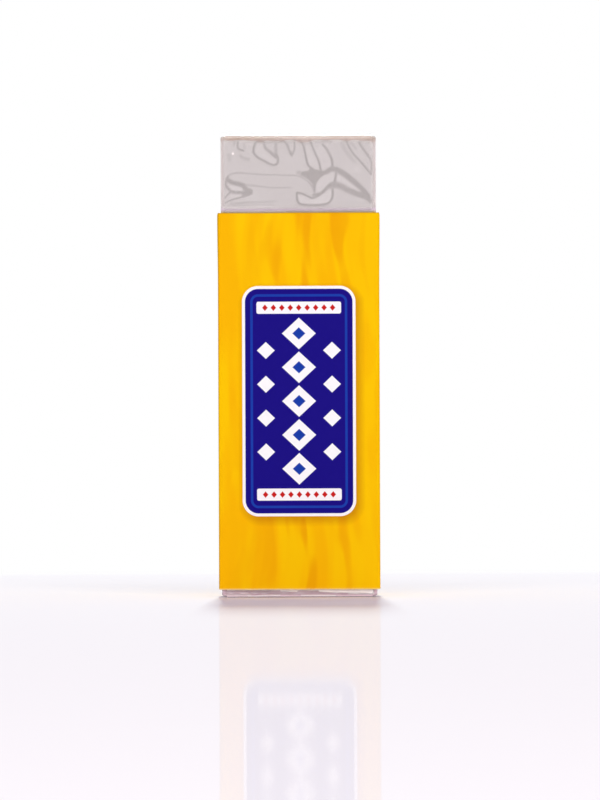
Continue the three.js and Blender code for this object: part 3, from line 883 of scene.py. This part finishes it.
# The print, in millimetres. Places on the front panel are from its middle.
printLook = {
    "middle": 25.5, "frontFace": -4.6, "panel": (7.0, 14.6, 1.7), "outline": 0.38,
    "inset": 0.85, "insetLine": 0.16, "shadowShift": (0.35, -0.45), "shadowMargin": 0.55,
    "pitch": 4.4, "diamond": (2.2, 2.05), "core": (0.85, 0.8),
    "sideDiamond": (1.15, 1.1), "sidePlace": 4.3, "columnHalf": 11.0,
    "strip": (5.5, 0.78, 0.25), "stripPlace": 12.15, "mark": (0.36, 0.42), "markPitch": 1.1, "marks": 9,
    "soft": 0.06, "shadowSoft": 1.5, "shadowStrength": 0.75,
    "swayGrain": (0.035, 0.06, 0), "sway": (5, 0, 0),
    "streakGrain": (0.33, 0.042, 0), "streakRange": (0.38, 0.62),
    "wedgeGrain": (0.42, 0.085, 0), "wedgeRange": (0.50, 0.62, 0.0, 0.9),
    "halfPitch": 15.5, "wedgeMiddle": 1.5, "wedgeZone": (3.0, 7.0, 1.0, 0.3),
    "quietZone": (4.0, 9.0, 1.0, 0.25),
    "fibreGrain": (3.0, 3.0, 1.2), "footRange": (-24.48, -24.28, 1.3, 0.0),
    # the mouth and crease ranges place painted shade on the upper cut edge and the left crease
    "mouthRange": (24.32, 24.46, 0.0, 0.6),
    "creaseRange": (-10.52, -10.28, 0.55, 0.0), "creaseDepth": (-4.7, -4.4, 1.0, 0.0),
    "yellow": "#FCC700", "orange": "#F9B800", "deep": "#F2A800", "shadow": "#B8700A",
    "navy": "#0A0082", "blue": "#0A3AA8", "white": "#FBFBFD", "red": "#C8161C",
    # the upper and left edge tones are painted shade
    "rubbed": "#FBE3A0", "upperEdge": "#B98A10", "leftEdge": "#9C8418", "relief": (0.12, 0.03),
    "finish": {"Roughness": 0.42, "IOR": 1.47, "Specular IOR Level": 0.12, "Specular Tint": "#FFD890"},
}

bareLook = {
    "grey": "#C9C1B2", "greyRange": (0.35, 0.75), "relief": (0.4, 0.03),
    "finish": {"Roughness": 0.85, "IOR": 1.5, "Specular IOR Level": 0.3},
}


def roundedPanel(add, x, z, shape):
    # Distance to the outline of a rounded rectangle, negative inside
    halfWidth, halfHeight, corner = shape
    across = add("Math SUBTRACT", add("Math ABSOLUTE", x), halfWidth - corner)
    upward = add("Math SUBTRACT", add("Math ABSOLUTE", z), halfHeight - corner)
    beyond = add("CombineXYZ", add("Math MAXIMUM", across, 0.0), add("Math MAXIMUM", upward, 0.0))
    inside = add("Math MINIMUM", add("Math MAXIMUM", across, upward), 0.0)
    total = add("Math ADD", add("VectorMath LENGTH", beyond), inside)
    return add("Math SUBTRACT", total, corner)


def diamond(add, x, z, shape):
    # Distance to the outline of a diamond, negative inside
    halfWidth, halfHeight = shape
    across = add("Math DIVIDE", add("Math ABSOLUTE", x), halfWidth)
    upward = add("Math DIVIDE", add("Math ABSOLUTE", z), halfHeight)
    scale = halfWidth * halfHeight / math.hypot(halfWidth, halfHeight)
    return add("Math MULTIPLY_ADD", add("Math ADD", across, upward), scale, -scale)


def streakedYellow(add, blank, design):
    # Tone-on-tone streaks along the panels: noise stretched along the sleeve, on a second slow noise that
    # makes them sway
    sway = add("TexNoise", {
        "Vector": add("VectorMath MULTIPLY", blank, design["swayGrain"]), "Scale": 1.0, "Detail": 0.0,
    }).outputs["Color"]
    swayed = add("VectorMath ADD", blank, add("VectorMath MULTIPLY", sway, design["sway"]))
    streaks = add("TexNoise", {
        "Vector": add("VectorMath MULTIPLY", swayed, design["streakGrain"]),
        "Scale": 1.0, "Detail": 2.0, "Roughness": 0.5,
    })
    wedges = add("TexNoise", {
        "Vector": add("VectorMath MULTIPLY", swayed, design["wedgeGrain"]),
        "Scale": 1.0, "Detail": 1.0, "Roughness": 0.4,
    })
    # the dark wedges are strongest in the middle of a panel, and the front gets quieter to the right
    along = add("SeparateXYZ", blank).outputs["X"]
    fromWedges = add("Math SUBTRACT", along, design["wedgeMiddle"])
    offMiddle = add("Math ABSOLUTE", add("Math WRAP", fromWedges, design["halfPitch"], -design["halfPitch"]))
    streakShare = add("Math MULTIPLY", add("MapRange SMOOTHSTEP", streaks, *design["streakRange"]),
                      add("MapRange SMOOTHSTEP", along, *design["quietZone"]))
    wedgeShare = add("Math MULTIPLY", add("MapRange SMOOTHSTEP", wedges, *design["wedgeRange"]),
                     add("MapRange SMOOTHSTEP", offMiddle, *design["wedgeZone"]))
    streaked = add("Mix RGBA", streakShare, design["yellow"], design["orange"])
    return add("Mix RGBA", wedgeShare, streaked, design["deep"])


def harlequin(add, x, z, design):
    # The inks of the front panel, from the lowest to the top one: distance to the outline, and colour
    panel = roundedPanel(add, x, z, design["panel"])
    inset = add("Math ABSOLUTE", add("Math ADD", panel, design["inset"]))
    half = design["pitch"] / 2
    column = add("Math SUBTRACT", add("Math ABSOLUTE", z), design["columnHalf"])
    inColumn = add("Math WRAP", z, half, -half)
    besideX = add("Math SUBTRACT", add("Math ABSOLUTE", x), design["sidePlace"])
    besideZ = add("Math WRAP", add("Math ADD", z, half), half, -half)
    stripZ = add("Math SUBTRACT", add("Math ABSOLUTE", z), design["stripPlace"])
    markHalf = design["markPitch"] / 2
    markX = add("Math WRAP", x, markHalf, -markHalf)
    markRow = add("Math SUBTRACT", add("Math ABSOLUTE", x), design["marks"] * markHalf)
    return (
        (add("Math SUBTRACT", panel, design["outline"]), design["white"]),
        (panel, design["navy"]),
        (add("Math SUBTRACT", inset, design["insetLine"]), design["blue"]),
        (add("Math MAXIMUM", diamond(add, x, inColumn, design["diamond"]), column), design["white"]),
        (add("Math MAXIMUM", diamond(add, x, inColumn, design["core"]), column), design["blue"]),
        (add("Math MAXIMUM", diamond(add, besideX, besideZ, design["sideDiamond"]),
             add("Math ADD", column, half)), design["white"]),
        (roundedPanel(add, x, stripZ, design["strip"]), design["white"]),
        (add("Math MAXIMUM", diamond(add, markX, stripZ, design["mark"]), markRow), design["red"]),
    )


def printedCard(design):
    # Folding boxboard, offset printed and sealed with satin varnish: strong flat ink, a soft sheen and a fine
    # fibre texture, with a harlequin panel on the front, and painted shade on the upper cut edge and the left
    # crease.
    material, add = newMaterial("printedBoxboard")
    scaled = add("VectorMath SCALE", add("TexCoord").outputs["Object"], 1 / mm)
    x, y, height = add("SeparateXYZ", scaled).outputs
    z = add("Math SUBTRACT", height, design["middle"])
    colour = streakedYellow(add, add("UVMap blank"), design)

    front = add("Math LESS_THAN", y, design["frontFace"])
    shiftX, shiftZ = design["shadowShift"]
    shadow = roundedPanel(
        add, add("Math SUBTRACT", x, shiftX), add("Math SUBTRACT", z, shiftZ), design["panel"])
    shadow = add("Math SUBTRACT", shadow, design["shadowMargin"])
    inks = [(shadow, design["shadow"], design["shadowSoft"], design["shadowStrength"])]
    inks += [(distance, tone, design["soft"], 1.0) for distance, tone in harlequin(add, x, z, design)]
    for distance, tone, soft, strength in inks:
        mask = add("Math MULTIPLY_ADD", distance, -1 / soft, 0.5, use_clamp=True)
        onFront = add("Math MULTIPLY", mask, add("Math MULTIPLY", front, strength))
        colour = add("Mix RGBA", onFront, colour, tone)

    # the ink is rubbed thin along the lower cut edge; painted shade darkens the upper cut edge and the left
    # crease
    fibres = add("TexNoise", {
        "Vector": add("VectorMath MULTIPLY", scaled, design["fibreGrain"]),
        "Scale": 1.0, "Detail": 3.0, "Roughness": 0.6,
    })
    atFoot = add("MapRange", z, *design["footRange"])
    rubbed = add("Math MULTIPLY", atFoot, fibres, use_clamp=True)
    mouthShade = add("MapRange", z, *design["mouthRange"])
    creaseShade = add("Math MULTIPLY", add("MapRange", x, *design["creaseRange"]),
                   add("MapRange", y, *design["creaseDepth"]))
    for share, tone in ((rubbed, "rubbed"), (mouthShade, "upperEdge"), (creaseShade, "leftEdge")):
        colour = add("Mix RGBA", share, colour, design[tone])
    coverWith(add, colour, fibres, design)
    return material


def bareCard(name, tone, grain, look):
    # Uncoated side or cut edge of boxboard: greyish white and dull, with short fibres and grey flecks
    material, add = newMaterial(name)
    place = add("TexCoord").outputs["Object"]
    fibres = add("TexNoise", {
        "Vector": add("VectorMath MULTIPLY", place, grain),
        "Scale": 1 / mm, "Detail": 4.0, "Roughness": 0.65, "Distortion": 0.4,
    })
    colour = add("Mix RGBA", add("MapRange", fibres, *look["greyRange"]), tone, look["grey"])
    coverWith(add, colour, fibres, look)
    return material


def unfolded(place, normal, low, high, flapStep):
    # Where a point of the folded sleeve lies on its flat blank: millimetres from the front panel's middle
    x, y = place.xy
    side = high.x
    depth = high.y - low.y
    if normal.y > 0.7 and abs(y - high.y + flapStep) < 0.2:
        return flapStep - side - depth - (x + side)
    if abs(normal.x) > 0.7:
        along = side + y - low.y
        return along if x > 0 else -along
    if normal.y < 0:
        return x
    return side + depth + side - x


def makeSleeve(look):
    sleeve, low, high = startBox("card_sleeve_folded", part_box("sleeve"))
    side, front, back = high.x, low.y, high.y
    length = high.z - low.z
    flapFace = back - look["flapStep"]
    flapReach = look["flapWidth"] + look["card"]
    pick(sleeve, "FACE", lambda place, normal: abs(normal.z) > 0.5)
    bpy.ops.mesh.delete(type="ONLY_FACE")
    # the blank's two ends meet at the back left corner: part them, step the flap in and pull it out
    pick(sleeve, "EDGE", lambda place, along: abs(along.z) > 1 and place.x < 0 and place.y > 0)
    bpy.ops.mesh.edge_split(type="EDGE")
    mesh = bmesh.from_edit_mesh(sleeve.data)
    bpy.ops.mesh.select_all(action="DESELECT")
    for face in mesh.faces:
        for edge in face.edges:
            place = (edge.verts[0].co + edge.verts[1].co) / 2
            if face.normal.x < -0.5 and abs(place.y - back) < 0.01:
                for vertex in edge.verts:
                    vertex.co.y -= look["flapStep"]
            if face.normal.y > 0.5 and abs(place.x + side) < 0.01:
                for vertex in edge.verts:
                    vertex.co.x += look["setBack"]
    bmesh.update_edit_mesh(sleeve.data)
    pick(sleeve, "EDGE", lambda place, along: abs(along.z) > 1 and place.x < 0
         and abs(place.y - flapFace) < 0.01)
    bpy.ops.mesh.extrude_edges_move(TRANSFORM_OT_translate={"value": (flapReach, 0, 0)})
    pick(sleeve, "VERT", lambda place, normal: abs(place.x + side - flapReach) < 0.01
         and abs(place.y - flapFace) < 0.01)
    bpy.ops.transform.resize(value=(1, 1, (length - 2 * look["flapTaper"]) / length),
                             center_override=(0, 0, (low.z + high.z) / 2))
    pick(sleeve, "EDGE", lambda place, along: abs(along.z) > 1 and abs(place.x) > side - 0.01
         and not (place.x < 0 and place.y > back - 0.1))
    bpy.ops.mesh.bevel(offset=look["crease"], segments=5, affect="EDGES")
    cutAcross(2, spaced(low.z, high.z, look["cutStep"])[1:-1])
    cutAcross(2, [low.z + rise for rise in look["footCuts"]] + [high.z - drop for drop in look["mouthCuts"]])
    cutAcross(0, spaced(1 - side, side - 1, look["cutStep"]))
    cutAcross(1, spaced(front + 1.2, back - 1.2, look["cutStep"]))
    bpy.ops.object.mode_set(mode="OBJECT")
    sleeve.data.update()

    blank = sleeve.data.uv_layers.new(name="blank")
    for polygon in sleeve.data.polygons:
        for loop in polygon.loop_indices:
            place = sleeve.data.vertices[sleeve.data.loops[loop].vertex_index].co
            blank.data[loop].uv = (unfolded(place, polygon.normal, low, high, look["flapStep"]), place.z)

    # folded card isn't flat: the panels bow out a little, the mouth opens and the corners are rubbed
    for vertex in sleeve.data.vertices:
        x, y, z = vertex.co
        along = (z - low.z) / length
        bow = math.sin(math.pi * along) ** look["bowFullness"] * math.cos(math.pi * x / (2 * side))
        if y < front + 0.05:
            vertex.co.y -= look["bow"] * bow
        elif y > back - 0.05:
            vertex.co.y += look["bow"] * bow
        if abs(x) > side - 0.05:
            vertex.co.x += math.copysign(look["flare"] * blendIn(along, *look["flareZone"]), x)
        # a rubbed corner is rounded: its edge pulls in as a quarter circle towards the cut end
        worn = look["wornCorner"]
        fromEnd = min(z - low.z, high.z - z)
        if abs(x) > side - look["crease"] and fromEnd < worn:
            pull = worn - math.sqrt(worn ** 2 - (worn - fromEnd) ** 2)
            vertex.co.x -= math.copysign(pull * (abs(x) - side + look["crease"]) / look["crease"], x)
        wander = look["cutWander"] * noise.noise(Vector((x, y, z)) / look["wanderLength"])
        vertex.co.z += wander * (1 - 4 * along * (1 - along))

    for material in (printedCard(printLook),
                     bareCard("bareBoxboardInside", look["inside"], look["insideGrain"], bareLook),
                     bareCard("cutBoxboardEdge", look["cutEdge"], look["cutGrain"], bareLook)):
        sleeve.data.materials.append(material)
    selectOnly(sleeve)
    addModifier(sleeve, "SOLIDIFY", thickness=look["card"], offset=-1, material_offset=1,
                material_offset_rim=2, use_even_offset=True)
    addModifier(sleeve, "BEVEL", width=look["cutBevel"], segments=2, limit_method="ANGLE",
                angle_limit=math.radians(60))
    finishPiece(sleeve, "card_sleeve", "sleeve", 40)


makeSleeve(sleeveLook)


glueLook = {
    "colour": "#DBD1B0", "dry": "#EFE8D2", "bubblesPerMm": 1.2, "dryRange": (0.1, 0.6),
    "relief": (0.4, 0.02), "finish": {"Roughness": 0.4, "IOR": 1.47},
}


def driedGlue(look):
    # PVA paper glue, rolled on and dried: milky, slightly yellow, with bubbles and thin places
    material, add = newMaterial("driedPaperGlue")
    bubbles = add("TexVoronoi", {
        "Vector": add("TexCoord").outputs["Object"], "Scale": look["bubblesPerMm"] / mm,
    }).outputs["Distance"]
    colour = add("Mix RGBA", add("MapRange", bubbles, *look["dryRange"]), look["dry"], look["colour"])
    coverWith(add, colour, bubbles, look)
    return material


glueLine = frame["nodes"]["sleeve_glue"]
glueMaterial = driedGlue(glueLook)
for materialSlot in glueLine.material_slots:
    materialSlot.material = glueMaterial
print("glue line has its material")
